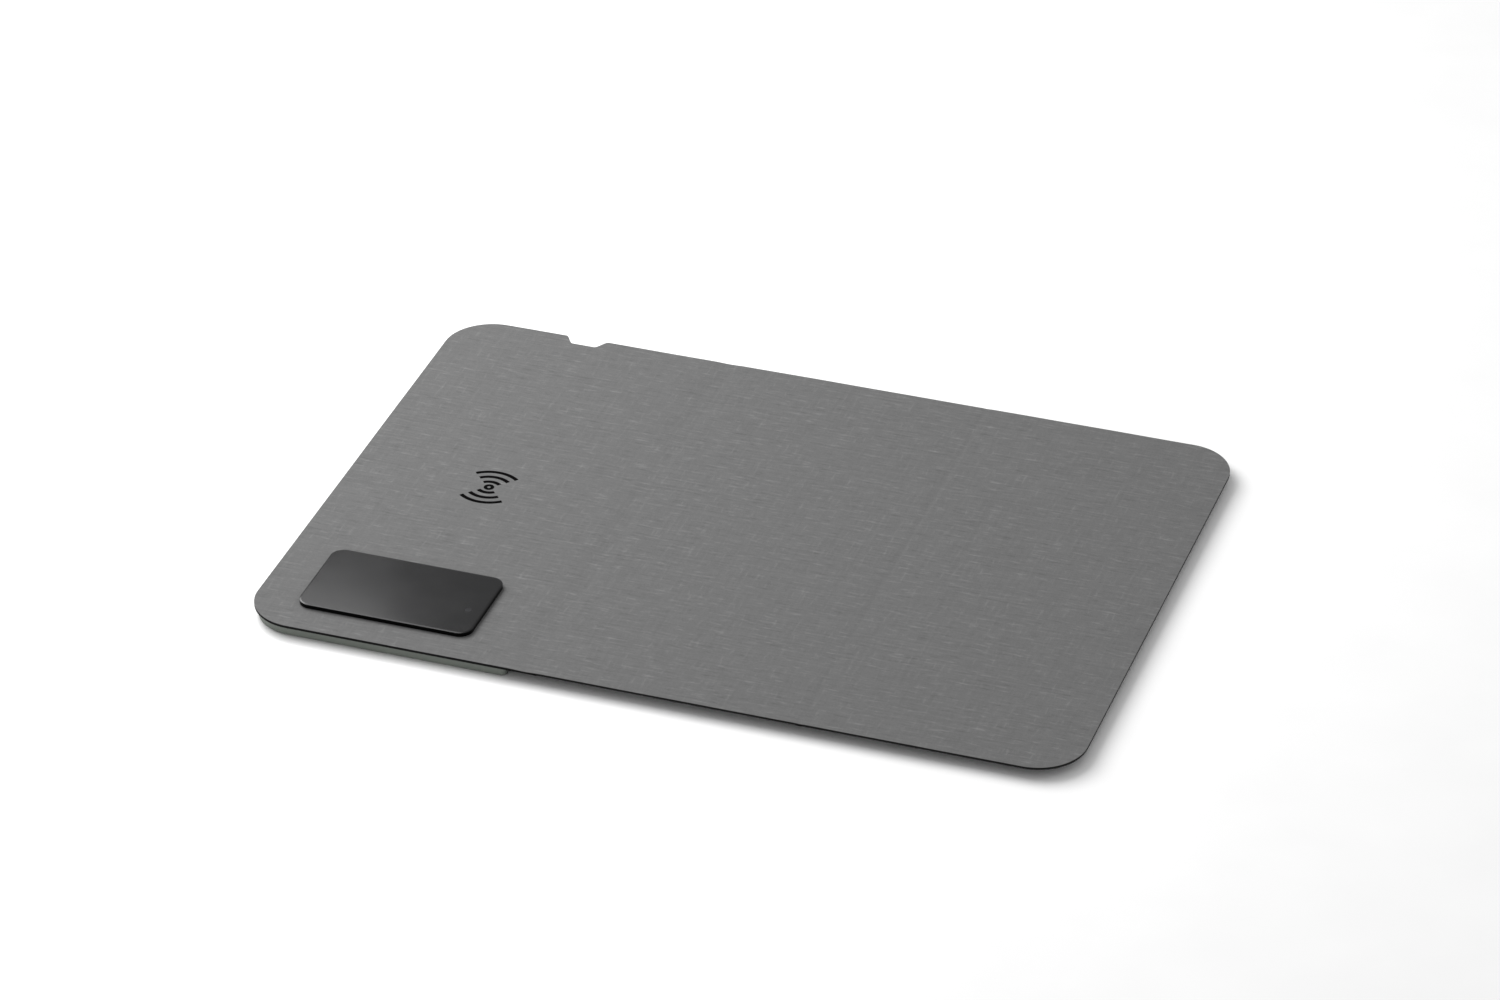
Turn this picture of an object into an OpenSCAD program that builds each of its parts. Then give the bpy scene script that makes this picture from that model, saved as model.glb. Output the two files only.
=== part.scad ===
// Foldable wireless charging mat: a charger module, a soft spine and two thin
// panels that roll under it. All sizes are in millimetres. The mat lies open,
// fabric up, with the charger module on the left and its USB-C port at the back.

/* [Mat] */
// Width of the open mat
mat_w = 350; // [346:1:354]
// Depth of the mat, front to back
mat_d = 250; // [244:1:256]
// Radius of the mat's outer corners
corner_r = 20.7; // [16:0.1:23]
// Thickness of the fabric face
fabric_t = 0.4; // [0.3:0.05:0.5]
// Thickness of the stiffening board in the two panels
board_t = 0.5; // [0.4:0.05:0.6]
// Thickness of the lining under the panels and the folds
lining_t = 0.3; // [0.2:0.05:0.4]

/* [Folds] */
// Width of the charger module, up to the soft spine
module_w = 116; // [115:0.5:117]
// Width of the soft spine beside the module
spine_w = 14.5; // [14:0.1:15]
// Distance between neighbouring fold lines in the spine
spine_pitch = 3.4; // [3.3:0.05:3.5]
// Middle of the crease between the two panels, from the left edge
crease_x = 238.5; // [238:0.1:239.5]
// Distance between the crease's two fold lines
crease_pitch = 2; // [1.9:0.05:2.1]
// Width of the soft zone around the crease
crease_w = 5; // [4.5:0.1:6]
// Gap between neighbouring strips at a fold line
fold_gap = 0.3; // [0.2:0.05:0.4]

/* [Housing] */
// Height of the housing under the laminate
housing_h = 4; // [3.8:0.05:4.2]
// Distance of the housing's side from the mat's edge
housing_inset = 1.5; // [1:0.1:2]
// Thickness of the housing's side wall
wall_t = 1.2; // [1:0.1:1.4]
// Thickness of the housing's floor
floor_t = 0.8; // [0.7:0.05:0.9]
// Thickness of the housing's lid
lid_t = 0.6; // [0.5:0.05:0.7]
// Height that the feet stand proud of the housing
foot_proud = 0.4; // [0.3:0.05:0.5]
// Radius of a foot
foot_r = 6; // [5:0.5:8]

/* [Port notch] */
// Middle of the USB-C port and of its notch, from the left edge
port_x = 57.8; // [56:0.1:60]
// Width of the notch at the mat's edge
notch_mouth_w = 18.8; // [16:0.1:22]
// Width of the notch at its bottom
notch_floor_w = 10.6; // [10:0.1:12]
// Depth of the notch
notch_depth = 5.5; // [5:0.1:6]

/* [Charging mark] */
// Distance of the mark and the coil from the left edge
mark_x = 60.6; // [58:0.1:62]
// Distance of the mark and the coil from the front edge
mark_y = 123.8; // [120:0.1:130]
// Outer radius of the mark's small ring
mark_ring_r = 2.2; // [2:0.1:2.4]
// Distance from the ring's middle to the nearest arcs
mark_reach = 4.2; // [4:0.1:4.4]
// Distance from one arc to the next
mark_step = 3.85; // [3.5:0.05:4]
// Radius of the nearest arcs
mark_first_r = 5.7; // [5:0.1:6.5]
// How much larger the radius of each next arc is
mark_r_step = 4.4; // [4:0.1:4.8]
// Width of the mark's lines
mark_line = 1.8; // [1.5:0.1:2]

/* [Badge] */
// Distance of the badge from the left edge
badge_x = 19; // [17:0.1:21]
// Distance of the badge from the front edge
badge_y = 14.3; // [13:0.1:16]
// Width of the badge
badge_w = 74.8; // [73:0.1:77]
// Depth of the badge
badge_d = 43.3; // [42:0.1:45]
// Radius of the badge's corners
badge_r = 5.5; // [4:0.5:7]
// Height of the badge above the fabric
badge_h = 1.95; // [1.8:0.05:2.1]
// Distance of the status light from the left edge
light_x = 87.2; // [86.5:0.1:88]
// Distance of the status light from the front edge
light_y = 31.5; // [28:0.5:35]
// Radius of the status light's lens
light_r = 1.4; // [1.2:0.1:1.6]

/* [Charger] */
// Outer radius of the coil
coil_r = 21; // [20:0.5:21]
// Inner radius of the coil
coil_hole_r = 10; // [9:0.5:11]
// Thickness of the coil's winding
coil_t = 0.8; // [0.7:0.05:0.8]
// Side of the square ferrite sheet
ferrite_side = 44; // [43:0.5:44.5]
// Width of the circuit board
pcb_w = 58; // [54:1:60]
// Depth of the circuit board
pcb_d = 36; // [34:1:40]
// Thickness of the circuit board
pcb_t = 0.8; // [0.6:0.1:0.8]

/* [Hidden] */
$fn = 96;
cut = 0.5;              // how far a cutting shape runs past the face it cuts
clear = 0.05;           // clearance between neighbouring parts of one body

// Heights
housing_z = foot_proud;
lid_z = housing_z + housing_h - lid_t;
deck_z = housing_z + housing_h;                  // underside of the laminate
top_z = deck_z + lining_t + board_t + fabric_t;  // face of the fabric
soft_top_z = top_z - board_t;                    // face of the fabric over the folds
inner_z = housing_z + floor_t;
badge_top_z = top_z + badge_h;

// Badge
adhesive_t = 0.15;
bevel_w = 0.7;
bevel_h = 0.15;

// Fold lines, from left to right
spine_middle = module_w + spine_w / 2;
spine_folds = [for (i = [-1.5 : 1 : 1.5]) spine_middle + i * spine_pitch];
crease_folds = [crease_x - crease_pitch / 2, crease_x + crease_pitch / 2];
ramp_w = 0.8;           // length of the slope where the fabric steps down to a fold

// Housing
housing_end_r = 2;      // radius of the housing's corners beside the spine
port_y = mat_d - notch_depth;
port_z = housing_z + housing_h / 2;
boss_r = 3;
boss_split_z = inner_z + 1;
screw_r = 0.8;
screw_head_r = 1.4;
screw_head_t = 0.5;
screw_slot = [1.5, 0.35, 0.25];
foot_recess = 0.4;
screw_seat_z = housing_z + foot_recess + 0.6;
screw_tip_z = deck_z - 0.4;
foot_in = 20;           // distance of the outer feet from the mat's edges
foot_places = [
    for (x = [foot_in, module_w - 0.8 * foot_in], y = [foot_in, mat_d / 2, mat_d - foot_in])
        [x, y]
];

// USB-C receptacle
shell_w = 8.94;
shell_h = 3.26;
shell_t = 0.3;
shell_len = 7.3;
tongue_w = 6.69;
tongue_t = 0.7;
tongue_len = 5;
tongue_base_len = 1.2;
tongue_y = port_y - shell_len + shell_t + clear;
tongue_tip_y = tongue_y + tongue_base_len + tongue_len;
contact_pitch = 0.5;
contact_w = 0.25;
contact_t = 0.06;
contact_len = 3.5;

// Charging mark
mark_arc_angle = 77;
mark_ring_line = 1.5;

// Circuit board
pcb_x = port_x - pcb_w / 2;
pcb_back = port_y - wall_t - 1.5;
pcb_y = pcb_back - pcb_d;
pcb_z = inner_z + 0.4;
pcb_top = pcb_z + pcb_t;
stake_r = 0.7;
stake_proud = 0.3;
stake_places = [for (x = [3, pcb_w - 3], y = [3, pcb_d - 9]) [pcb_x + x, pcb_y + y]];

// Coil stack, hung under the lid
coil_z = lid_z - 0.1 - coil_t;
ferrite_t = 0.8;
holder_side = ferrite_side + 4;
lead_w = 1.2;
lead_t = 0.5;
lead_gap = 6;
flex_w = 3;
flex_t = 0.15;

// Moves a shape drawn from the mat's front left corner to the mat's own frame
module place(z = 0) {
    translate([-mat_w / 2, -mat_d / 2, z]) children();
}

// A rectangle with its own corner radii: front left, front right, back right, back left
module rounded_plate(x0, y0, x1, y1, radii) {
    corners = [[x0, y0, 1, 1], [x1, y0, -1, 1], [x1, y1, -1, -1], [x0, y1, 1, -1]];
    difference() {
        translate([x0, y0]) square([x1 - x0, y1 - y0]);
        for (i = [0 : 3]) {
            c = corners[i];
            r = radii[i];
            difference() {
                translate([c[0] + c[2] * (r - cut) / 2, c[1] + c[3] * (r - cut) / 2])
                    square(r + cut, center = true);
                translate([c[0] + c[2] * r, c[1] + c[3] * r]) circle(r = r);
            }
        }
    }
}

// The notch that lets a plug reach the port
module notch_outline() {
    polygon([
        [port_x - notch_floor_w / 2, port_y],
        [port_x + notch_floor_w / 2, port_y],
        [port_x + notch_mouth_w / 2, mat_d + clear],
        [port_x + notch_mouth_w / 2, mat_d + 2 * cut],
        [port_x - notch_mouth_w / 2, mat_d + 2 * cut],
        [port_x - notch_mouth_w / 2, mat_d + clear]
    ]);
}

// Outline of the whole mat
module mat_outline() {
    difference() {
        rounded_plate(0, 0, mat_w, mat_d, [corner_r, corner_r, corner_r, corner_r]);
        notch_outline();
    }
}

// Outline of the housing, drawn inwards by a margin
module housing_outline(margin) {
    edge = housing_inset + margin;
    r = corner_r - edge;
    end_r = max(housing_end_r - margin, 0.5);
    difference() {
        rounded_plate(edge, edge, module_w - edge, mat_d - edge, [r, end_r, end_r, r]);
        if (margin > 0) translate([port_x - notch_mouth_w / 2 - margin, port_y - margin])
            square([notch_mouth_w + 2 * margin, notch_depth + margin]);
        else notch_outline();
    }
}

// A layer of the mat between two fold lines or edges
module layer(x0, x1, z0, z1) {
    place(z0) linear_extrude(z1 - z0) intersection() {
        mat_outline();
        translate([x0, -cut]) square([x1 - x0, mat_d + 2 * cut]);
    }
}

// Fabric from x0 to x1 that steps down over a soft zone at either end, where
// soft_left and soft_right are where its board starts and ends
module stepped_fabric(x0, soft_left, soft_right, x1, low_z) {
    left = soft_left > x0 ? [
        [x0, low_z], [soft_left - ramp_w, low_z], [soft_left, top_z - fabric_t]
    ] : [[x0, top_z - fabric_t]];
    right = soft_right < x1 ? [
        [soft_right, top_z - fabric_t], [soft_right + ramp_w, low_z], [x1, low_z],
        [x1, soft_top_z], [soft_right + ramp_w, soft_top_z], [soft_right, top_z]
    ] : [[x1, top_z - fabric_t], [x1, top_z]];
    back_left = soft_left > x0 ? [
        [soft_left, top_z], [soft_left - ramp_w, soft_top_z], [x0, soft_top_z]
    ] : [[x0, top_z]];
    intersection() {
        place() translate([0, mat_d + cut, 0]) rotate([90, 0, 0])
            linear_extrude(mat_d + 2 * cut) polygon(concat(left, right, back_left));
        place() linear_extrude(top_z + cut) mat_outline();
    }
}

// A soft strip between two fold lines
module soft_strip(x0, x1) {
    layer(x0 + fold_gap / 2, x1 - fold_gap / 2, deck_z, soft_top_z);
}

module badge_outline(margin) {
    r = badge_r - margin;
    rounded_plate(badge_x + margin, badge_y + margin, badge_x + badge_w - margin,
        badge_y + badge_d - margin, [r, r, r, r]);
}

module light_hole(margin) {
    translate([light_x, light_y]) circle(r = light_r + margin);
}

// One arc of the mark, i steps out from the ring, drawn behind it
module mark_arc(i) {
    r = mark_first_r + i * mark_r_step;
    far = 2 * r;
    half_w = far * tan(mark_arc_angle / 2);
    translate([0, mark_reach + i * mark_step - r]) intersection() {
        difference() {
            circle(r = r + mark_line / 2);
            circle(r = r - mark_line / 2);
        }
        polygon([[0, 0], [half_w, far], [-half_w, far]]);
    }
}

module mark_outline() {
    translate([mark_x, mark_y]) {
        difference() {
            circle(r = mark_ring_r);
            circle(r = mark_ring_r - mark_ring_line);
        }
        for (i = [0 : 2], turn = [0, 180]) rotate(turn) mark_arc(i);
    }
}

module racetrack(w, h, grow) {
    r = h / 2;
    for (side = [-1, 1]) translate([side * (w / 2 - r), 0]) circle(r = r + grow);
    square([w - h, h + 2 * grow], center = true);
}

// Runs a vertical section along Y, from y0 to y1, at the port
module along_port(y0, y1) {
    place() translate([port_x, y1, port_z]) rotate([90, 0, 0])
        linear_extrude(y1 - y0) children();
}

module block(x, y, z, size) {
    place(z) translate([x, y, 0]) linear_extrude(size[2])
        square([size[0], size[1]], center = true);
}

// Charger module: housing
module lower_housing() {
    color([0.37, 0.39, 0.37]) difference() {
        union() {
            place(housing_z) linear_extrude(floor_t) housing_outline(0);
            place(housing_z) linear_extrude(housing_h) difference() {
                housing_outline(0);
                housing_outline(wall_t);
            }
            place(housing_z) linear_extrude(boss_split_z - housing_z)
                for (p = foot_places) translate(p) circle(r = boss_r);
            place(housing_z) linear_extrude(pcb_z - housing_z)
                for (p = stake_places) translate(p) circle(r = 2 * stake_r);
            place(housing_z) linear_extrude(pcb_top + stake_proud - housing_z)
                for (p = stake_places) translate(p) circle(r = stake_r);
        }
        place(housing_z - cut) linear_extrude(cut + foot_recess)
            for (p = foot_places) translate(p) circle(r = foot_r + clear);
        place(housing_z - cut) linear_extrude(cut + screw_seat_z - housing_z)
            for (p = foot_places) translate(p) circle(r = screw_head_r + clear);
        place(housing_z - cut) linear_extrude(2 * cut + boss_split_z - housing_z)
            for (p = foot_places) translate(p) circle(r = screw_r + clear);
        along_port(port_y - shell_len - cut, port_y + cut)
            racetrack(shell_w, shell_h, clear);
    }
}

module housing_lid() {
    color([0.16, 0.16, 0.17]) difference() {
        union() {
            place(lid_z) linear_extrude(lid_t) housing_outline(wall_t + clear);
            place(boss_split_z) linear_extrude(lid_z + lid_t - boss_split_z)
                for (p = foot_places) translate(p) circle(r = boss_r);
        }
        place(boss_split_z - cut) linear_extrude(cut + screw_tip_z - boss_split_z)
            for (p = foot_places) translate(p) circle(r = screw_r);
        place(lid_z - cut) linear_extrude(lid_t + 2 * cut) light_hole(clear);
        along_port(port_y - shell_len - cut, port_y + cut)
            racetrack(shell_w, shell_h, clear);
    }
}

module housing_screws() {
    color([0.62, 0.62, 0.64]) for (p = foot_places) place() translate(p) difference() {
        union() {
            translate([0, 0, screw_seat_z - screw_head_t])
                cylinder(r = screw_head_r, h = screw_head_t);
            translate([0, 0, screw_seat_z])
                cylinder(r = screw_r - clear / 2, h = screw_tip_z - screw_seat_z - 0.1);
        }
        translate([0, 0, screw_seat_z - screw_head_t - cut])
            linear_extrude(cut + screw_slot[2])
                for (turn = [0, 90]) rotate(turn)
                    square([screw_slot[0], screw_slot[1]], center = true);
    }
}

module rubber_feet() {
    color([0.08, 0.08, 0.08]) place() linear_extrude(foot_proud + foot_recess - clear)
        for (p = foot_places) translate(p) circle(r = foot_r);
}

// Charger module: laminate
module module_board() {
    color([0.13, 0.13, 0.13]) difference() {
        layer(0, module_w, deck_z, top_z - fabric_t);
        place(deck_z - cut) linear_extrude(2) light_hole(clear);
    }
}

module module_fabric() {
    color([0.44, 0.44, 0.44]) difference() {
        stepped_fabric(0, 0, module_w, spine_folds[0] - fold_gap / 2, deck_z);
        place(top_z - fabric_t / 2) linear_extrude(cut) mark_outline();
        place(deck_z) linear_extrude(2) light_hole(clear);
    }
}

module charging_mark() {
    color([0.05, 0.05, 0.05]) place(top_z - fabric_t / 2)
        linear_extrude(fabric_t / 2 - clear) mark_outline();
}

// Badge and status light
module badge_plate() {
    plate_h = badge_h - adhesive_t;
    color([0.2, 0.2, 0.2]) difference() {
        hull() {
            place(top_z + adhesive_t) linear_extrude(plate_h - bevel_h) badge_outline(0);
            place(top_z + adhesive_t) linear_extrude(plate_h) badge_outline(bevel_w);
        }
        place(top_z) linear_extrude(2 * badge_h) light_hole(clear);
    }
}

module badge_adhesive() {
    color([0.7, 0.68, 0.6]) place(top_z) linear_extrude(adhesive_t) difference() {
        badge_outline(1.5);
        light_hole(clear);
    }
}

// A light pipe, flush with the badge, with a flange under the lid
module status_lens() {
    pipe_z = inner_z + 1;
    flange_t = 0.5;
    flange_w = 0.8;
    color([0.75, 0.78, 0.8]) place() translate([light_x, light_y, 0]) union() {
        translate([0, 0, pipe_z]) cylinder(r = light_r, h = badge_top_z - pipe_z);
        translate([0, 0, lid_z - clear - flange_t])
            cylinder(r = light_r + flange_w, h = flange_t);
    }
}

module status_led() {
    color([0.95, 0.95, 0.85]) block(light_x, light_y, inner_z + flex_t, [1.6, 0.8, 0.6]);
}

// Runs along the floor from the light, past the coil holder, to the circuit board
module led_flex() {
    overlap = 2;
    start = [light_x, light_y] - [flex_w, flex_w] / 2;
    color([0.75, 0.5, 0.15]) place(inner_z) linear_extrude(flex_t)
        translate(start) square([flex_w, pcb_y + overlap - start[1]]);
}

// Coil stack
module charging_coil() {
    turns = 12;
    pitch = (coil_r - coil_hole_r) / turns;
    color([0.72, 0.42, 0.2]) place() translate([mark_x, mark_y, coil_z + coil_t / 2])
        rotate_extrude() {
            for (i = [0 : turns - 1]) translate([coil_hole_r + (i + 0.5) * pitch, 0])
                square([pitch * 0.8, coil_t], center = true);
            translate([coil_hole_r + pitch / 2, -coil_t * 0.4])
                square([coil_r - coil_hole_r - pitch, coil_t * 0.8]);
        }
}

module ferrite_sheet() {
    h = ferrite_side / 2;
    color([0.2, 0.19, 0.2]) place(coil_z - ferrite_t) linear_extrude(ferrite_t)
        rounded_plate(mark_x - h, mark_y - h, mark_x + h, mark_y + h, [3, 3, 3, 3]);
}

module coil_holder() {
    o = holder_side / 2;
    i = ferrite_side / 2 + clear;
    shelf = ferrite_side / 2 - 4;
    color([0.85, 0.85, 0.83]) {
        place(inner_z) linear_extrude(coil_z - ferrite_t - inner_z) difference() {
            rounded_plate(mark_x - o, mark_y - o, mark_x + o, mark_y + o, [4, 4, 4, 4]);
            translate([mark_x, mark_y]) circle(r = shelf);
        }
        place(coil_z - ferrite_t - clear) linear_extrude(ferrite_t) difference() {
            rounded_plate(mark_x - o, mark_y - o, mark_x + o, mark_y + o, [4, 4, 4, 4]);
            rounded_plate(mark_x - i, mark_y - i, mark_x + i, mark_y + i, [3, 3, 3, 3]);
        }
    }
}

// Two flat leads that run back from the coil and step down onto the circuit board
module coil_leads() {
    high_z = coil_z + clear;
    low_z = pcb_top + clear;
    start = mark_y + coil_r + 2 * clear;
    bend = pcb_y - 6;
    landing = pcb_y + 1;
    tip = landing + 3;
    route = [[start, high_z], [bend, high_z], [landing, low_z], [tip, low_z]];
    upper = [for (i = [len(route) - 1 : -1 : 0]) route[i] + [0, lead_t]];
    color([0.7, 0.2, 0.15]) for (side = [-1, 1])
        place() translate([mark_x + side * lead_gap / 2 - lead_w / 2, 0, 0])
            rotate([90, 0, 90]) linear_extrude(lead_w) polygon(concat(route, upper));
}

module thermistor() {
    color([0.15, 0.3, 0.2]) place(coil_z) translate([mark_x, mark_y, 0])
        cylinder(r = 1.2, h = 0.6);
}

// Circuit board and what it carries
module circuit_board() {
    slot_w = shell_w + 4 * clear;
    slot_d = shell_len - (port_y - pcb_back) + 3 * clear;
    color([0.08, 0.35, 0.2]) place(pcb_z) linear_extrude(pcb_t) difference() {
        translate([pcb_x, pcb_y]) square([pcb_w, pcb_d]);
        for (p = stake_places) translate(p) circle(r = stake_r + clear);
        translate([port_x - slot_w / 2, pcb_back - slot_d]) square([slot_w, slot_d + cut]);
    }
}

module controller_chip() {
    color([0.07, 0.07, 0.07]) block(port_x - 12, pcb_y + 17, pcb_top, [5, 5, 0.9]);
}

module power_transistors() {
    color([0.1, 0.1, 0.1]) for (i = [0 : 3])
        block(port_x + 5 + 5 * (i % 2), pcb_y + 13 + 5 * floor(i / 2), pcb_top, [3, 3, 0.8]);
}

module resonant_capacitors() {
    color([0.75, 0.65, 0.5]) for (i = [0 : 3])
        block(port_x - 10 + 5 * i, pcb_y + 8, pcb_top, [2.5, 3.2, 1.2]);
}

module power_inductor() {
    color([0.3, 0.3, 0.32]) block(port_x + 20, pcb_y + 20, pcb_top, [7, 7, 1.2]);
}

// USB-C receptacle
module usb_c_shell() {
    color([0.6, 0.6, 0.62]) union() {
        along_port(port_y - shell_len, port_y) difference() {
            racetrack(shell_w, shell_h, 0);
            racetrack(shell_w, shell_h, -shell_t);
        }
        along_port(port_y - shell_len, port_y - shell_len + shell_t)
            racetrack(shell_w, shell_h, 0);
    }
}

module usb_c_tongue() {
    color([0.05, 0.05, 0.05]) union() {
        along_port(tongue_y, tongue_y + tongue_base_len)
            racetrack(shell_w, shell_h, -shell_t - clear);
        along_port(tongue_y, tongue_tip_y) square([tongue_w, tongue_t], center = true);
    }
}

module usb_c_contacts() {
    tip = tongue_tip_y - 0.5;
    color([0.8, 0.65, 0.3]) for (i = [-5.5 : 1 : 5.5], side = [-1, 1])
        along_port(tip - contact_len, tip)
            translate([i * contact_pitch, side * (tongue_t + contact_t) / 2])
                square([contact_w, contact_t], center = true);
}

// Soft spine: three strips between the four fold lines
module spine_strip_1() {
    color([0.42, 0.42, 0.42]) soft_strip(spine_folds[0], spine_folds[1]);
}

module spine_strip_2() {
    color([0.42, 0.42, 0.42]) soft_strip(spine_folds[1], spine_folds[2]);
}

module spine_strip_3() {
    color([0.42, 0.42, 0.42]) soft_strip(spine_folds[2], spine_folds[3]);
}

// Panel 2, between the spine and the crease
module panel_2_fabric() {
    color([0.42, 0.42, 0.42]) stepped_fabric(spine_folds[3] + fold_gap / 2,
        module_w + spine_w, crease_x - crease_w / 2, crease_folds[0] - fold_gap / 2,
        deck_z + lining_t);
}

module panel_2_board() {
    color([0.13, 0.13, 0.13]) layer(module_w + spine_w, crease_x - crease_w / 2,
        deck_z + lining_t, top_z - fabric_t);
}

module panel_2_lining() {
    color([0.1, 0.1, 0.1]) layer(spine_folds[3] + fold_gap / 2,
        crease_folds[0] - fold_gap / 2, deck_z, deck_z + lining_t);
}

module crease_strip() {
    color([0.4, 0.4, 0.4]) soft_strip(crease_folds[0], crease_folds[1]);
}

// Panel 3, right of the crease
module panel_3_fabric() {
    color([0.4, 0.4, 0.4]) stepped_fabric(crease_folds[1] + fold_gap / 2,
        crease_x + crease_w / 2, mat_w, mat_w, deck_z + lining_t);
}

module panel_3_board() {
    color([0.13, 0.13, 0.13]) layer(crease_x + crease_w / 2, mat_w,
        deck_z + lining_t, top_z - fabric_t);
}

module panel_3_lining() {
    color([0.1, 0.1, 0.1]) layer(crease_folds[1] + fold_gap / 2, mat_w,
        deck_z, deck_z + lining_t);
}

lower_housing();
housing_lid();
housing_screws();
rubber_feet();
module_board();
module_fabric();
charging_mark();
badge_plate();
badge_adhesive();
status_lens();
status_led();
led_flex();
charging_coil();
ferrite_sheet();
coil_holder();
coil_leads();
thermistor();
circuit_board();
controller_chip();
power_transistors();
resonant_capacitors();
power_inductor();
usb_c_shell();
usb_c_tongue();
usb_c_contacts();
spine_strip_1();
spine_strip_2();
spine_strip_3();
panel_2_fabric();
panel_2_board();
panel_2_lining();
crease_strip();
panel_3_fabric();
panel_3_board();
panel_3_lining();
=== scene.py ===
"""Looks of the folding wireless charging mat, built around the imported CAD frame.

Shapes are drawn in millimetres from the mat's front left corner, as in the CAD source,
and moved to the row frame, in metres, when a mesh is made.
"""

import functools
import math

import bpy
import numpy as np
from mathutils import Matrix, Vector


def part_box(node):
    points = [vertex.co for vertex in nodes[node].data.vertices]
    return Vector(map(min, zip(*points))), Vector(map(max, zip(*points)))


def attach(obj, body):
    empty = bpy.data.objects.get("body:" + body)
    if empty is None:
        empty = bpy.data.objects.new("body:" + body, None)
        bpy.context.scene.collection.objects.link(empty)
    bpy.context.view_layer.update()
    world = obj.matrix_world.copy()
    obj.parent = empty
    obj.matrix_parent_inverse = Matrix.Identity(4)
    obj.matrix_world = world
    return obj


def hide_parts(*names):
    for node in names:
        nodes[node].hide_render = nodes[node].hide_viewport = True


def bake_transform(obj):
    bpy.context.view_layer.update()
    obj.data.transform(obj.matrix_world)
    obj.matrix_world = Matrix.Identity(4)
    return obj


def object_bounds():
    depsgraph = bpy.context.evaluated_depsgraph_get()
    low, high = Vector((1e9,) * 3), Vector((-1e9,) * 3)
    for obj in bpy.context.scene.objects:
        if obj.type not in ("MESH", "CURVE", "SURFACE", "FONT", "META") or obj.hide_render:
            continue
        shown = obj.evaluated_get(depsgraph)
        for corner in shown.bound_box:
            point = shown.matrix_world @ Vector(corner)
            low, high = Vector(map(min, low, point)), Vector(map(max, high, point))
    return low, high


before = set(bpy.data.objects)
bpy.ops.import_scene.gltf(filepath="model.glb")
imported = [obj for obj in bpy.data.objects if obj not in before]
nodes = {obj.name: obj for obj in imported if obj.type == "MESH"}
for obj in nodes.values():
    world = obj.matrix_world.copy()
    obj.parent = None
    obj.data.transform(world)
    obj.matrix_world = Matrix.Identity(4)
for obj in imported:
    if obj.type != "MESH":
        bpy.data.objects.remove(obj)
cad_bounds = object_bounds()

cad_low, cad_high = cad_bounds
MAT_W, MAT_D = (cad_high.x - cad_low.x) * 1000, (cad_high.y - cad_low.y) * 1000


def corners(node):
    """A CAD node's lowest and highest corner, in millimetres from the mat's front left corner."""
    shift = np.array([MAT_W / 2, MAT_D / 2, 0])
    return [np.array(c) * 1000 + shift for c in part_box(node)]


# Outline of the mat
CORNER_R = 20.7
EDGE_ROLL = 0.1         # radius of the fabric's rim
FACE_SINK = 0.05        # keeps the highest point of the uneven face inside the CAD box
WAVES = (0.03, 0.02)    # heights of the two shallow waves in the face
PUCKER = 0.05           # height of the puckers over a fold, as a share of its dip

# Heights above the table
DECK_Z, BOARD_TOP_Z = (c[2] for c in corners("module_board"))
LINING_TOP_Z = corners("panel_2_lining")[1][2]
FACE_Z = corners("module_fabric")[1][2]

# Folds: where the boards end, and where the cloth pieces meet
SPINE = (corners("module_board")[1][0], corners("panel_2_board")[0][0])
CREASE = (corners("panel_2_board")[1][0], corners("panel_3_board")[0][0])
SPINE_CLOTH = (corners("module_fabric")[1][0], corners("panel_2_fabric")[0][0])
CREASE_CLOTH = (corners("panel_2_fabric")[1][0], corners("panel_3_fabric")[0][0])
FOLDS = (SPINE + (0.2, 7.0), CREASE + (0.1, 2.5))  # left, right, depth, length of the slope

# Notch for the plug
shell_low, shell_high = corners("usb_c_shell")
PORT_X = (shell_low[0] + shell_high[0]) / 2
NOTCH_DEPTH = MAT_D - shell_high[1]
NOTCH_FLOOR, NOTCH_MOUTH = 10.6, 18.8
NOTCH_SOFT = 0.4        # how far the notch's corners are softened
NOTCH_REACH = NOTCH_MOUTH / 2 + 3.5  # half the width of the stretch with close columns
NOTCH_POINTS = 700      # points on the notch's edge that distances are measured to

# Charging mark
mark_low, mark_high = corners("charging_mark")
MARK = tuple((mark_low + mark_high)[:2] / 2)
MARK_LINE = 1.8         # width of the arcs
MARK_RING = (2.2, 0.7)  # outer and inner radius of the ring
MARK_REACH = 4.2        # distance from the ring's middle to the nearest arcs
MARK_STEP = ((mark_high[1] - mark_low[1] - MARK_LINE) / 2 - MARK_REACH) / 2
MARK_FIRST_R, MARK_R_STEP = 5.7, 4.4
MARK_SPAN = math.radians(77)
MARK_DEPTH = 0.25       # depth of the cut in the fabric
MARK_SUNK = 0.08        # how far the black inlay lies below the fabric's face
MARK_GAP = 0.03         # gap beside the inlay
MARK_UNDER = 0.01       # gap under the inlay

# Badge and status light
badge_low, badge_high = corners("badge_plate")
BADGE_R = 5.5
BADGE_LIFT = 0.02       # keeps the badge's underside off the fabric
FOOT_W, FOOT_H = 0.2, 0.15    # chamfer round the badge's underside
BEVEL_W, BEVEL_H = 0.7, 0.15  # bevel round its top
EASE_W, EASE_H = 0.05, 0.08   # softer edge where the side meets the bevel
lens_low, lens_high = corners("status_lens")
LIGHT = tuple((lens_low + lens_high)[:2] / 2)
LENS_FLANGE = 0.8       # how far the lens's flange, under the lid, stands out
LIGHT_CLEAR = 0.02      # gap between the lens and its hole in the badge
LIGHT_R = (lens_high[0] - lens_low[0]) / 2 - LENS_FLANGE + LIGHT_CLEAR


# ---------------------------------------------------------------- shapes


def smooth(t):
    """A soft step: 0 up to t = 0, 1 from t = 1."""
    t = np.clip(t, 0.0, 1.0)
    return t * t * (3 - 2 * t)


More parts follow.
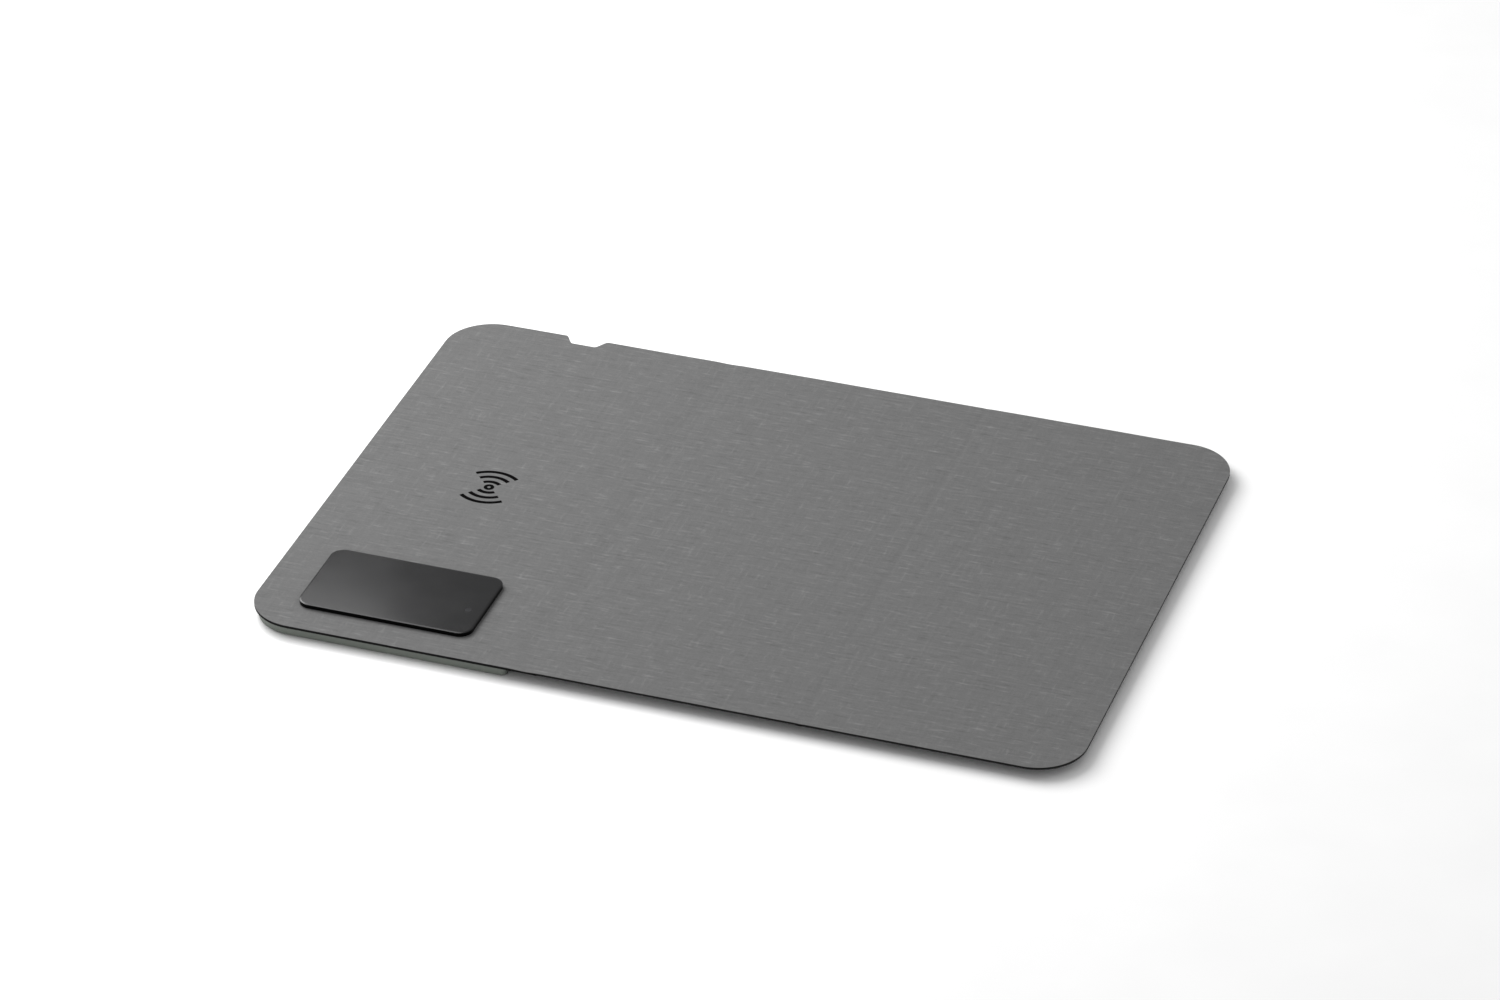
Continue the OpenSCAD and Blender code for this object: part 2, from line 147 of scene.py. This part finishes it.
def corner_inset(x):
    """How far the front and back edges lie inside the mat's rectangle at x."""
    d = np.clip(CORNER_R - np.minimum(x, MAT_W - x), 0.0, CORNER_R)
    return CORNER_R - np.sqrt(CORNER_R**2 - d**2)


def notch_cut(x):
    """Depth of the plug notch at x, with its corners softened as pressed cloth is."""
    reach = (NOTCH_MOUTH - NOTCH_FLOOR) / 2 + 2 * NOTCH_SOFT
    return NOTCH_DEPTH * smooth((NOTCH_MOUTH / 2 + NOTCH_SOFT - np.abs(x - PORT_X)) / reach)


def back_edge(x):
    """Where the mat ends at the back, with the notch."""
    return MAT_D - np.maximum(corner_inset(x), notch_cut(x))


def distance_inside(x, y):
    """Distance from points on the mat to its outline, exact near the outline."""
    qx = np.abs(x - MAT_W / 2) - (MAT_W / 2 - CORNER_R)
    qy = np.abs(y - MAT_D / 2) - (MAT_D / 2 - CORNER_R)
    outside = np.hypot(np.maximum(qx, 0), np.maximum(qy, 0))
    d = CORNER_R - outside - np.minimum(np.maximum(qx, qy), 0)
    margin = 2
    near = (np.abs(x - PORT_X) < NOTCH_REACH) & (y > MAT_D - NOTCH_DEPTH - margin)
    if near.any():
        reach = NOTCH_REACH + margin
        edge_x = np.linspace(PORT_X - reach, PORT_X + reach, NOTCH_POINTS)
        gap = np.hypot(x[near][:, None] - edge_x, y[near][:, None] - back_edge(edge_x))
        d[near] = np.minimum(d[near], gap.min(axis=1))
    return np.maximum(d, 0.0)


def fold_dip(x):
    """How far the face sinks over the two soft folds."""
    dip = np.zeros_like(x)
    for left, right, depth, slope in FOLDS:
        dip += depth * smooth(np.minimum(x - left, right - x) / slope)
    return dip


def face_height(x, y):
    """Height of the fabric's face: flat over the boards, lower over the folds, hardly uneven."""
    uneven = WAVES[0] * np.sin(x / 17.0 + 1.3) * np.sin(y / 23.0 + 0.4)
    uneven += WAVES[1] * np.sin(x / 7.1 + y / 11.0)
    pucker = PUCKER * fold_dip(x) * np.sin(y / 3.1 + 0.6 * np.sin(y / 13.0))
    past_roll = np.clip(EDGE_ROLL - distance_inside(x, y), 0, EDGE_ROLL)
    roll = EDGE_ROLL - np.sqrt(EDGE_ROLL**2 - past_roll**2)
    return FACE_Z - FACE_SINK - fold_dip(x) + uneven + pucker - roll


# Spacing of the points of the cloth: columns stand along x, and rows along y
CORNER_COLUMNS = 34
NOTCH_STEP, SPINE_STEP, CREASE_STEP, PLAIN_STEP = 0.35, 0.35, 0.2, 3.0
LEAST_STEP = 0.02
RIM_ROWS = np.array([0.0, 0.015, 0.04, 0.075, 0.12, 0.4, 0.8, 1.6, 3.2])  # in from the edge
MIDDLE_START, MIDDLE_ROWS = 5, 64


def stations(x0, x1):
    """Columns of a piece of cloth from x0 to x1: dense at the corners, the folds and the notch."""
    bend = CORNER_R * (1 - np.cos(np.linspace(0, math.pi / 2, CORNER_COLUMNS)))
    notch = np.arange(PORT_X - NOTCH_REACH, PORT_X + NOTCH_REACH, NOTCH_STEP)
    folds = [np.arange(*SPINE, SPINE_STEP), np.arange(*CREASE, CREASE_STEP)]
    plain = np.arange(CORNER_R, MAT_W - CORNER_R, PLAIN_STEP)
    xs = np.concatenate([bend, MAT_W - bend, notch, plain, *folds])
    xs = xs[(xs > x0 + 2 * LEAST_STEP) & (xs < x1 - 2 * LEAST_STEP)]
    xs = np.unique(np.round(xs, 4))
    keep = np.concatenate([[True], np.diff(xs) > LEAST_STEP])
    return np.concatenate([[x0], xs[keep], [x1]])


def rows(y0, y1):
    """The places of one column's points, dense at both rims."""
    middle = np.linspace(y0 + MIDDLE_START, y1 - MIDDLE_START, MIDDLE_ROWS)
    return np.concatenate([y0 + RIM_ROWS, middle, y1 - RIM_ROWS[::-1]])


def link(obj):
    """Puts an object in the scene."""
    bpy.context.scene.collection.objects.link(obj)
    return obj


def new_mesh(name, points, faces, sharp_angle=40):
    """An object from points in millimetres, in the CAD source's own corner frame."""
    placed = (np.asarray(points, float) - (MAT_W / 2, MAT_D / 2, 0)) / 1000
    mesh = bpy.data.meshes.new(name)
    mesh.from_pydata(placed.tolist(), [], faces)
    mesh.validate()
    mesh.shade_smooth()
    mesh.set_sharp_from_angle(angle=math.radians(sharp_angle))
    return link(bpy.data.objects.new(name, mesh))


SHARP_ANGLE = 25        # small solids have a sharp edge where they turn by more degrees
TOP, RIM, UNDERSIDE = range(3)  # order of the materials on a piece of cloth


def cloth_uv(obj):
    """A UV layer in metres, so that the weave stays with the cloth when it bends."""
    mesh = obj.data
    layer = mesh.uv_layers.new(name="Cloth")
    places = np.zeros(len(mesh.vertices) * 3)
    mesh.vertices.foreach_get("co", places)
    index = np.zeros(len(mesh.loops), int)
    mesh.loops.foreach_get("vertex_index", index)
    x, y, z = places.reshape(-1, 3)[index].T
    side = np.zeros(len(mesh.loops), bool)
    for face in mesh.polygons:
        if face.material_index == RIM:
            side[face.loop_start : face.loop_start + face.loop_total] = True
    uv = np.column_stack([np.where(side, x + y, x), np.where(side, z, y)])
    layer.data.foreach_set("uv", uv.ravel())


def cloth(name, x0, x1, under):
    """A closed piece of the fabric laminate between x0 and x1. under(x) is its underside."""
    columns = stations(x0, x1)
    grid_y = np.array([rows(*ends) for ends in zip(corner_inset(columns), back_edge(columns))])
    x = np.repeat(columns, grid_y.shape[1])
    y = grid_y.ravel()
    top = np.column_stack([x, y, face_height(x, y)])
    bottom = np.column_stack([x, y, under(x)])
    grid = np.arange(grid_y.size).reshape(grid_y.shape)
    cells = (grid[:-1, :-1], grid[1:, :-1], grid[1:, 1:], grid[:-1, 1:])
    sheet = np.column_stack([cell.ravel() for cell in cells])
    below = grid.size
    ring = np.concatenate([grid[:, 0], grid[-1, 1:], grid[-2::-1, -1], grid[0, -2:0:-1]])
    after = np.roll(ring, -1)
    wall = np.column_stack([ring + below, after + below, after, ring])
    faces = sheet.tolist() + (sheet[:, ::-1] + below).tolist() + wall.tolist()
    obj = new_mesh(name, np.vstack([top, bottom]), faces)
    material = np.repeat([TOP, UNDERSIDE, RIM], [len(sheet), len(sheet), len(wall)])
    obj.data.polygons.foreach_set("material_index", material)
    return obj


def flat_outline(outline, profile, name):
    """A solid whose rings are outline(margin) at each (margin, height) of the profile."""
    count = len(outline(0))
    rings = [np.column_stack([outline(m), np.full(count, z)]) for m, z in profile]
    first = np.arange(count)
    faces = [first[::-1].tolist()]
    for k in range(len(rings) - 1):
        here = first + k * count
        after = np.roll(here, -1)
        faces += np.column_stack([here, after, after + count, here + count]).tolist()
    faces.append((first + (len(rings) - 1) * count).tolist())
    return new_mesh(name, np.vstack(rings), faces, SHARP_ANGLE)


def circle(steps):
    """Points round a circle of radius 1."""
    turn = np.linspace(0, 2 * math.pi, steps, endpoint=False)
    return np.column_stack([np.cos(turn), np.sin(turn)])


def rounded_box(x0, y0, x1, y1, r, steps=16):
    """Points round a rectangle with rounded corners, front left corner last."""
    quarter = math.pi / 2
    middles = [(x1 - r, y0 + r), (x1 - r, y1 - r), (x0 + r, y1 - r), (x0 + r, y0 + r)]
    parts = []
    for k, middle in enumerate(middles):
        turn = np.linspace(0, quarter, steps) + (k - 1) * quarter
        parts.append(np.column_stack([np.cos(turn), np.sin(turn)]) * r + middle)
    return np.vstack(parts)


def arc_outline(i, side, grow):
    """Points round one arc of the mark, i steps from the ring, behind (1) or before (-1) it."""
    r = MARK_FIRST_R + i * MARK_R_STEP
    half = MARK_LINE / 2 + grow
    sweep = np.linspace(1, -1, 28) * (MARK_SPAN / 2 + grow / r)
    ring = np.column_stack([np.sin(sweep), np.cos(sweep)])
    points = np.vstack([ring * (r + half), ring[::-1] * (r - half)])
    return (points + (0, MARK_REACH + i * MARK_STEP - r)) * side + MARK


def ring_solid(out_r, in_r, z0, z1, name, steps=48):
    """A flat ring round the middle of the mark."""
    loops = [(out_r, z0), (out_r, z1), (in_r, z1), (in_r, z0)]
    points = [np.column_stack([circle(steps) * r + MARK, np.full(steps, z)]) for r, z in loops]
    faces = []
    for k in range(len(loops)):
        here = np.arange(steps) + steps * k
        there = np.arange(steps) + steps * ((k + 1) % len(loops))
        sides = [here, np.roll(here, -1), np.roll(there, -1), there]
        faces += np.column_stack(sides).tolist()
    return new_mesh(name, np.vstack(points), faces, SHARP_ANGLE)


def mark_shapes(z0, z1, grow, name):
    """The charging mark as solids between two heights."""
    parts = [ring_solid(MARK_RING[0] + grow, MARK_RING[1] - grow, z0, z1, f"{name}_ring")]
    for i in range(3):
        for side in (1, -1):
            outline = functools.partial(arc_outline, i, side)
            parts.append(flat_outline(outline, [(grow, z0), (grow, z1)], f"{name}_{side}_{i}"))
    return join(parts, name)


def join(parts, name):
    """One object from several."""
    with bpy.context.temp_override(
        active_object=parts[0], selected_editable_objects=parts, object=parts[0]
    ):
        bpy.ops.object.join()
    parts[0].name = parts[0].data.name = name
    return parts[0]


def cut_out(obj, cutter, sharp_angle=SHARP_ANGLE):
    """Cuts a closed shape out of obj and removes the cutter."""
    cut = obj.modifiers.new("cut", "BOOLEAN")
    cut.operation, cut.solver, cut.object = "DIFFERENCE", "EXACT", cutter
    bpy.context.view_layer.update()
    result = obj.evaluated_get(bpy.context.evaluated_depsgraph_get())
    mesh = bpy.data.meshes.new_from_object(result)
    obj.modifiers.remove(cut)
    obj.data = mesh
    obj.data.set_sharp_from_angle(angle=math.radians(sharp_angle))
    bpy.data.objects.remove(cutter)


# ---------------------------------------------------------------- materials


class Shader:
    """A Principled material with a few short words for its procedural nodes."""

    def __init__(self, name, uv=None):
        self.mat = bpy.data.materials.new(name)
        self.mat.use_nodes = True
        self.tree = self.mat.node_tree
        self.bsdf = self.tree.nodes["Principled BSDF"]
        if uv:
            source = self.tree.nodes.new("ShaderNodeUVMap")
            source.uv_map = uv
            self.place = source.outputs["UV"]
        else:
            self.place = self.tree.nodes.new("ShaderNodeTexCoord").outputs["Object"]

    def put(self, socket, value):
        """Links a socket, or sets the value of an input."""
        if isinstance(value, bpy.types.NodeSocket):
            self.tree.links.new(value, socket)
        elif isinstance(value, (tuple, list)) and len(value) == 3 and socket.type == "RGBA":
            socket.default_value = (*value, 1)
        else:
            socket.default_value = value

    def noise(self, size_mm, detail=2.0, rough=0.5):
        """Noise from 0 to 1 whose features are size_mm = (along x, y, z) long."""
        stretch = self.tree.nodes.new("ShaderNodeMapping")
        stretch.vector_type = "POINT"
        self.put(stretch.inputs["Vector"], self.place)
        self.put(stretch.inputs["Scale"], tuple(1000 / s for s in size_mm))
        node = self.tree.nodes.new("ShaderNodeTexNoise")
        self.put(node.inputs["Vector"], stretch.outputs["Vector"])
        self.put(node.inputs["Scale"], 1.0)
        self.put(node.inputs["Detail"], detail)
        self.put(node.inputs["Roughness"], rough)
        return node.outputs["Fac"]

    def weave(self, pitch_mm):
        """Crossings of a plain weave: 1 where the weft lies on top, -1 for the warp, 0 between."""
        split = self.tree.nodes.new("ShaderNodeSeparateXYZ")
        self.put(split.inputs["Vector"], self.place)
        across, along = (
            self.math("SINE", self.math("MULTIPLY", split.outputs[axis], 1000 * math.pi / pitch_mm))
            for axis in "XY"
        )
        return self.math("MULTIPLY", across, along)

    def spread(self, value, low, high, start=0.3, end=0.7):
        """Maps start..end of a value to low..high, clamped."""
        node = self.tree.nodes.new("ShaderNodeMapRange")
        self.put(node.inputs["Value"], value)
        self.put(node.inputs["From Min"], start)
        self.put(node.inputs["From Max"], end)
        self.put(node.inputs["To Min"], low)
        self.put(node.inputs["To Max"], high)
        return node.outputs["Result"]

    def math(self, kind, a, b=0.0):
        """One math node."""
        node = self.tree.nodes.new("ShaderNodeMath")
        node.operation = kind
        self.put(node.inputs[0], a)
        self.put(node.inputs[1], b)
        return node.outputs[0]

    def average(self, a, b):
        """The mean of two patterns."""
        return self.math("ADD", self.math("MULTIPLY", a, 0.5), self.math("MULTIPLY", b, 0.5))

    def tint(self, color, factor):
        """A colour times a factor."""
        node = self.tree.nodes.new("ShaderNodeVectorMath")
        node.operation = "SCALE"
        node.inputs[0].default_value = color
        self.put(node.inputs["Scale"], factor)
        return node.outputs[0]

    def bump(self, height, depth_mm, strength=1.0):
        """Fine relief from a pattern."""
        node = self.tree.nodes.new("ShaderNodeBump")
        self.put(node.inputs["Height"], height)
        self.put(node.inputs["Distance"], depth_mm / 1000)
        self.put(node.inputs["Strength"], strength)
        self.put(self.bsdf.inputs["Normal"], node.outputs["Normal"])

    def set(self, **values):
        """Sets the shader's sockets, named in lower case, and gives the finished material."""
        for key, value in values.items():
            self.put(self.bsdf.inputs[key.replace("_", " ").title().replace("Ior", "IOR")], value)
        return self.mat


def moulded(name, color, roughness, grain_mm=0.5, tone=0.06, depth_mm=0.01, **extra):
    """Plastic, rubber or coated metal with a fine grain and a slightly uneven tone."""
    shader = Shader(name)
    grain = shader.noise((grain_mm,) * 3, 3.0)
    wide = shader.noise((18.0,) * 3, 2.0)
    both = shader.average(grain, wide)
    shader.bump(grain, depth_mm)
    return shader.set(
        base_color=shader.tint(color, shader.spread(both, 1 - tone, 1 + tone)),
        roughness=shader.spread(both, roughness - 0.05, roughness + 0.05),
        **extra,
    )


FABRIC_COLOR = (0.119, 0.119, 0.119)
THREAD_PITCH = 0.42     # distance between neighbouring threads


def fabric():
    """Grey melange cloth with a linen look: lines and slubs both ways over a plain weave."""
    shader = Shader("melange_fabric", "Cloth")
    weft_slubs = shader.noise((8.0, 1.3, 1), 2.0, 0.5)
    warp_slubs = shader.noise((1.6, 8.0, 1), 2.0, 0.5)
    weft_lines = shader.noise((70.0, 1.2, 1), 1.0)
    warp_lines = shader.noise((1.6, 70.0, 1), 1.0)
    weft_thread = shader.noise((1.1, 0.32, 1), 1.0)
    warp_thread = shader.noise((0.32, 1.1, 1), 1.0)
    cloudy = shader.noise((14.0, 10.0, 1), 2.0)
    crossings = shader.weave(THREAD_PITCH)
    tone = shader.spread(cloudy, -0.02, 0.02)
    # Each row adds low..high to the tone as its pattern goes from start to end
    for pattern, low, high, start, end in (
        (weft_lines, -0.045, 0.045, 0.3, 0.7),
        (warp_lines, -0.025, 0.025, 0.3, 0.7),
        (weft_slubs, -0.045, 0.045, 0.3, 0.7),
        (warp_slubs, -0.03, 0.03, 0.3, 0.7),
        (weft_slubs, 0.0, 0.35, 0.60, 0.76),
        (warp_slubs, 0.0, 0.20, 0.62, 0.78),
        (weft_slubs, -0.15, 0.0, 0.26, 0.38),
        (weft_thread, -0.06, 0.06, 0.3, 0.7),
        (warp_thread, -0.05, 0.05, 0.3, 0.7),
        (crossings, -0.05, 0.05, -1, 1),
    ):
        tone = shader.math("ADD", tone, shader.spread(pattern, low, high, start, end))
    height = shader.math("ADD", weft_thread, warp_thread)
    height = shader.math("ADD", height, shader.math("ADD", weft_slubs, warp_slubs))
    height = shader.math("ADD", height, shader.math("ABSOLUTE", crossings))
    shader.bump(height, 0.05, 0.6)
    return shader.set(
        base_color=shader.tint(FABRIC_COLOR, shader.math("ADD", tone, 1.0)),
        roughness=0.92,
        sheen_weight=0.12,
        sheen_roughness=0.5,
        specular_ior_level=0.25,
    )


def rim_with_painted_shade():
    """The rim of the laminate, with fine fibre ends: its own dark tone, painted near black as shade
    of the unlit front rim.
    """
    shader = Shader("laminate_rim_painted_shade", "Cloth")
    fibre = shader.noise((0.5, 0.12, 1), 2.0)
    shader.bump(fibre, 0.04)
    return shader.set(
        base_color=shader.tint((0.005, 0.005, 0.005), shader.spread(fibre, 0.6, 1.4)),
        roughness=0.9,
        specular_ior_level=0.1,
    )


def lining(name, uv=None):
    """Black microfibre: short nap with soft, darker and lighter strokes."""
    shader = Shader(name, uv)
    nap = shader.noise((0.25,) * 3, 2.0)
    strokes = shader.noise((26, 14, 14), 3.0)
    shader.bump(nap, 0.05)
    brightness = shader.spread(shader.average(nap, strokes), 0.6, 1.45)
    return shader.set(
        base_color=shader.tint((0.032, 0.032, 0.034), brightness),
        roughness=0.95,
        sheen_weight=0.3,
    )


# ---------------------------------------------------------------- cloth pieces


STEP_SLOPE = 0.8        # length of the step from a board down to a fold


def stepped_under(high, low):
    """Underside of a cloth that is at high over its board and at low over the folds beside it."""

    def under(x):
        inside = np.minimum(x - SPINE[0], SPINE[1] - x)
        inside = np.maximum(inside, np.minimum(x - CREASE[0], CREASE[1] - x))
        return high - (high - low) * smooth(inside / STEP_SLOPE)

    return under


def soft_under(x):
    """Underside of the cloth over a fold, level with the underside of the boards' lining."""
    return np.full_like(x, DECK_Z)


panel_under = stepped_under(BOARD_TOP_Z, LINING_TOP_Z)
module_cover = cloth("module_cover", 0.0, SPINE_CLOTH[0], stepped_under(BOARD_TOP_Z, DECK_Z))
panel_2_cover = cloth("panel_2_cover", SPINE_CLOTH[1], CREASE_CLOTH[0], panel_under)
panel_3_cover = cloth("panel_3_cover", CREASE_CLOTH[1], MAT_W, panel_under)
spine_cover = cloth("spine_cover", *SPINE_CLOTH, soft_under)
crease_cover = cloth("crease_cover", *CREASE_CLOTH, soft_under)

cloth_materials = (fabric(), rim_with_painted_shade(), lining("lining_of_cloth", "Cloth"))
for obj in (module_cover, panel_2_cover, panel_3_cover, spine_cover, crease_cover):
    for material in cloth_materials:
        obj.data.materials.append(material)
    cloth_uv(obj)

# The charging mark is cut into the module's fabric and filled with black
cut_floor = FACE_Z - MARK_DEPTH
cut_out(module_cover, mark_shapes(cut_floor, FACE_Z + 1, MARK_GAP, "mark_cutter"))
mark_inlay = mark_shapes(cut_floor + MARK_UNDER, FACE_Z - MARK_SUNK, 0.0, "mark_inlay")
mark_inlay.data.materials.append(
    moulded("mark_black", (0.001, 0.001, 0.001), 0.9, 0.4, 0.2, 0.02, specular_ior_level=0.03)
)

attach(module_cover, "charger")
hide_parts("module_fabric")
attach(mark_inlay, "charger")
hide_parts("charging_mark")
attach(panel_2_cover, "panel_2")
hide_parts("panel_2_fabric")
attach(panel_3_cover, "panel_3")
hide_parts("panel_3_fabric")


def across(x):
    """A point over the mat's middle line at x, in the row frame."""
    return ((x - MAT_W / 2) / 1000, 0, DECK_Z / 1000)


across(SPINE_CLOTH[1])
across(SPINE_CLOTH[0])
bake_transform(spine_cover)
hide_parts("spine_strip_1", "spine_strip_2", "spine_strip_3")
across(CREASE_CLOTH[1])
across(CREASE_CLOTH[0])
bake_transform(crease_cover)
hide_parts("crease_strip")

# ---------------------------------------------------------------- badge


def badge_outline(margin):
    """Points round the badge, margin inside its edge."""
    (x0, y0), (x1, y1) = badge_low[:2] + margin, badge_high[:2] - margin
    return rounded_box(x0, y0, x1, y1, BADGE_R - margin)


badge_base_z, badge_top_z = FACE_Z + BADGE_LIFT, badge_high[2]
badge = flat_outline(
    badge_outline,
    [
        (FOOT_W, badge_base_z),
        (0.0, badge_base_z + FOOT_H),
        (0.0, badge_top_z - BEVEL_H - EASE_H),
        (EASE_W, badge_top_z - BEVEL_H),
        (BEVEL_W, badge_top_z),
    ],
    "badge",
)


def light_outline(margin):
    """Points round the hole for the status light."""
    return circle(64) * (LIGHT_R - margin) + LIGHT


light_cutter = flat_outline(light_outline, [(0, badge_base_z - 1), (0, badge_top_z + 1)], "cutter")
cut_out(badge, light_cutter, sharp_angle=8)
badge.data.materials.append(
    moulded("badge_satin", (0.007, 0.007, 0.0075), 0.2, 0.3, 0.1, 0.0008, specular_ior_level=0.2)
)
# The sides get a blacker, duller copy of the badge's finish: painted shade for the shadowed band
# along its front side.
badge.data.materials.append(
    moulded("badge_side_painted_shade", (0.001, 0.001, 0.001), 0.2, 0.3, 0.2, 0.002, specular_ior_level=0.1)
)
for face in badge.data.polygons:
    face.material_index = 0 if face.normal.z > 0.9 else 1
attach(badge, "charger")
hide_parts("badge_plate")

# ---------------------------------------------------------------- CAD pieces

# The boards' edges show in the laminate's rim: their own dark tone, deepened to near black as
# painted shade of the unlit front rim.
board = moulded("board_dark_painted_shade", (0.005, 0.005, 0.005), 0.8, 0.3, 0.15, 0.02, specular_ior_level=0.1)
finishes = {
    "lower_housing": moulded("housing_plastic", (0.146, 0.163, 0.143), 0.5, 0.35, 0.06, 0.012),
    "housing_lid": moulded("lid_plastic", (0.03, 0.03, 0.032), 0.6, 0.5, 0.1),
    "housing_screws": moulded("zinc_plate", (0.5, 0.5, 0.52), 0.3, 0.4, 0.08, metallic=1.0),
    "rubber_feet": moulded("rubber", (0.014, 0.014, 0.014), 0.85, 0.25, 0.2, 0.02),
    "module_board": board,
    "panel_2_board": board,
    "panel_3_board": board,
    "badge_adhesive": moulded("tape", (0.5, 0.47, 0.38), 0.8, 1.0),
    "status_lens": moulded(
        "smoked_lens", (0.016, 0.016, 0.018), 0.15, 2.0, 0.1, 0.001, specular_ior_level=0.25
    ),
    "status_led": moulded("led_white", (0.8, 0.8, 0.6), 0.3, 0.3),
    "led_flex": moulded("polyimide", (0.5, 0.22, 0.03), 0.3, 1.0),
    "charging_coil": moulded("litz_copper", (0.42, 0.14, 0.04), 0.45, 0.2, 0.25, 0.03),
    "ferrite_sheet": moulded("ferrite", (0.03, 0.028, 0.03), 0.55, 0.8, 0.2),
    "coil_holder": moulded("holder_plastic", (0.7, 0.7, 0.67), 0.5),
    "coil_leads": moulded("red_lead", (0.35, 0.05, 0.02), 0.35),
    "thermistor": moulded("bead", (0.02, 0.06, 0.03), 0.3),
    "circuit_board": moulded("solder_mask", (0.01, 0.1, 0.04), 0.3, 1.5, 0.2),
    "controller_chip": moulded("chip_black", (0.01, 0.01, 0.01), 0.5),
    "power_transistors": moulded("package_black", (0.012, 0.012, 0.012), 0.5),
    "resonant_capacitors": moulded("ceramic", (0.42, 0.3, 0.16), 0.4),
    "power_inductor": moulded("iron_powder", (0.08, 0.08, 0.09), 0.6),
    "usb_c_shell": moulded("nickel", (0.6, 0.6, 0.6), 0.25, 0.5, 0.05, 0.003, metallic=1.0),
    "usb_c_tongue": moulded("tongue_black", (0.012, 0.012, 0.012), 0.45),
    "usb_c_contacts": moulded("gold", (0.8, 0.55, 0.2), 0.25, 0.4, 0.08, 0.003, metallic=1.0),
}
finishes["panel_2_lining"] = finishes["panel_3_lining"] = lining("lining")
for name, finish in finishes.items():
    nodes[name].data.materials.clear()
    nodes[name].data.materials.append(finish)


def soften(node, radius):
    """Rounds the sharp edges of a CAD piece by a small radius in millimetres."""
    weld = nodes[node].modifiers.new("weld", "WELD")
    weld.merge_threshold = 1e-6
    bevel = nodes[node].modifiers.new("soft_edges", "BEVEL")
    bevel.width = radius / 1000
    bevel.segments = 3
    bevel.limit_method = "ANGLE"
    bevel.angle_limit = math.radians(50)
    bevel.harden_normals = True


soften("lower_housing", 0.35)
soften("rubber_feet", 0.25)

# ---------------------------------------------------------------- stage, light and camera

floor_shader = Shader("pale_floor")
brightness = floor_shader.spread(floor_shader.noise((40.0,) * 3, 2.0), 0.99, 1.01)
floor_shader.set(base_color=floor_shader.tint((0.92, 0.92, 0.92), brightness), roughness=0.7)
bpy.ops.mesh.primitive_plane_add(size=12, location=(0, 0, 0))
floor = bpy.context.object
floor.name = "floor"
floor.data.materials.append(floor_shader.mat)

world = bpy.data.worlds.new("studio")
world.use_nodes = True
world.node_tree.nodes["Background"].inputs["Color"].default_value = (1, 1, 1, 1)
world.node_tree.nodes["Background"].inputs["Strength"].default_value = 0.6
bpy.context.scene.world = world


def soft_light(name, towards, distance, size, power, aim=(0, 0, 0), offset=(0, 0)):
    """A large area light that faces the point aim from the direction towards.

    power is in watts per square metre of the light. offset moves it within its own plane,
    sideways and up, as a share of its size.
    """
    lamp = bpy.data.lights.new(name, "AREA")
    lamp.shape = "RECTANGLE"
    lamp.size, lamp.size_y = size
    lamp.energy = power * size[0] * size[1]
    obj = link(bpy.data.objects.new(name, lamp))
    obj.visible_camera = False
    away = Vector(towards).normalized()
    sideways = Vector((0, 0, 1)).cross(away).normalized()
    upwards = away.cross(sideways)
    place = Vector(aim) + away * distance
    place += sideways * offset[0] * size[0] + upwards * offset[1] * size[1]
    axes = Matrix((sideways, upwards, away)).transposed().to_4x4()
    obj.matrix_world = Matrix.Translation(place) @ axes


# The camera stands where the photo was taken from
AZIMUTH, ELEVATION, ROLL = map(math.radians, (19.094, 32.282, -0.233))
LENS, DISTANCE = 146.526, 2.5313
TARGET = Vector((-8.214, 24.007, FACE_Z)) / 1000

to_camera = Vector((
    math.sin(AZIMUTH) * math.cos(ELEVATION),
    -math.cos(AZIMUTH) * math.cos(ELEVATION),
    math.sin(ELEVATION),
))
level = Vector((0, 0, 1)).cross(to_camera).normalized()
steep = to_camera.cross(level)
picture_right = level * math.cos(ROLL) + steep * math.sin(ROLL)
picture_up = steep * math.cos(ROLL) - level * math.sin(ROLL)
camera = link(bpy.data.objects.new("camera", bpy.data.cameras.new("camera")))
camera.data.lens = LENS
camera.data.sensor_width = 36
axes = Matrix((picture_right, picture_up, to_camera)).transposed().to_4x4()
camera.matrix_world = Matrix.Translation(TARGET + to_camera * DISTANCE) @ axes
bpy.context.scene.camera = camera

# A broad key from the left and a little behind, and a panel whose reflection fades
# across the badge
soft_light("key", (-0.7, 0.25, 0.75), 1.5, (1.3, 1.3), 12.8)
badge_middle = sum(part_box("badge_plate"), Vector()) / 2
mirrored = (-to_camera.x, -to_camera.y, to_camera.z)
soft_light("panel", mirrored, 0.5, (0.3, 0.2), 20.8, badge_middle, offset=(0.62, 0.6))

bpy.context.scene.view_settings.view_transform = "Standard"
